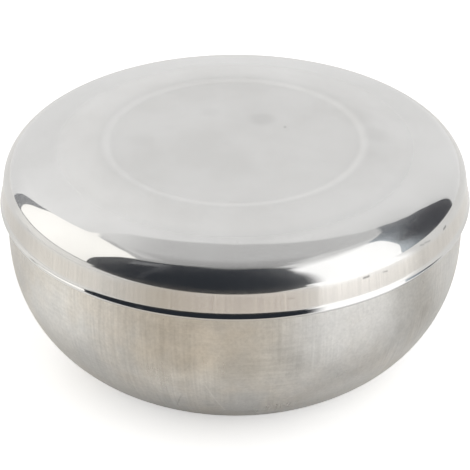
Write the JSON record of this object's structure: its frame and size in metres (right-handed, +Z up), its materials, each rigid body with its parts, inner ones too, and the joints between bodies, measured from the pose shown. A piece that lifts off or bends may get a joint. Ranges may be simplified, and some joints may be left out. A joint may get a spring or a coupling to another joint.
{
  "type": "lidded rice bowl",
  "caption": "Round steel rice bowl with a flat base, a curved wall and a low domed lid that slips over the rim and lifts straight off.",
  "frame": {"origin": "middle of the flat base, on the plane the bowl stands on", "axes": "+Z up along the axis the bowl and lid are turned about; X and Y are any two directions across it, because the part is round"},
  "size_m": [0.11, 0.11, 0.0516],
  "materials": {
    "bowl_steel": "satin, with fine upright drawing lines and light wear",
    "lid_steel": "polished, with a hazy top and a mirror-bright shoulder"
  },
  "bodies": {
    "bowl": {"bowl": "bowl_steel"},
    "lid": {"lid": "lid_steel"}
  },
  "joints": [
    {"name": "lid_lift", "type": "slide", "parent": "bowl", "child": "lid", "axis": [0, 0, 1], "range_m": [0, 0.085]}
  ]
}
